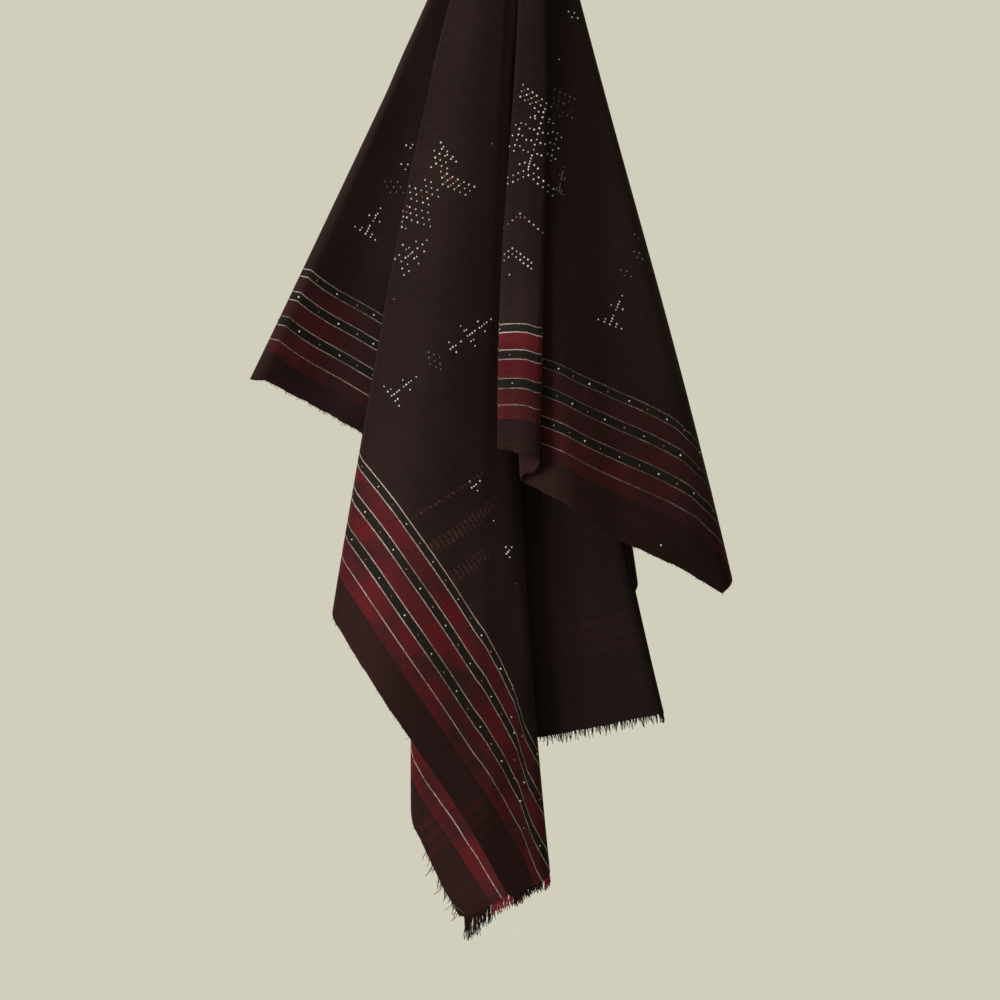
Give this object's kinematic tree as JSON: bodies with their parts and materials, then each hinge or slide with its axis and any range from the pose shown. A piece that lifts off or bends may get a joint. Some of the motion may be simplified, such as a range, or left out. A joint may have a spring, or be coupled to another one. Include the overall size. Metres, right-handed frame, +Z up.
{
  "type": "hanging shawl",
  "caption": "A dark woven wool shawl hung from one point, falling in deep uneven folds to slanting hems with striped borders, and with short frayed ends",
  "frame": {"origin": "the point that the shawl hangs from, at the top of its gathered head", "axes": "+Z up, +X to the viewer's right in the picture's view, +Y towards the wall behind the shawl"},
  "size_m": [0.3974, 0.1342, 0.9045],
  "materials": {
    "cloth": "matt woven wool with woven border stripes",
    "fringe": "loose wool threads"
  },
  "bodies": {
    "root": {"cloth": "cloth", "fringe_front": "fringe", "fringe_front_return": "fringe", "fringe_back": "fringe", "fringe_back_return": "fringe", "fringe_inner_pleat": "fringe", "fringe_second": "fringe", "fringe_far": "fringe", "fringe_far_return": "fringe"}
  },
  "joints": []
}
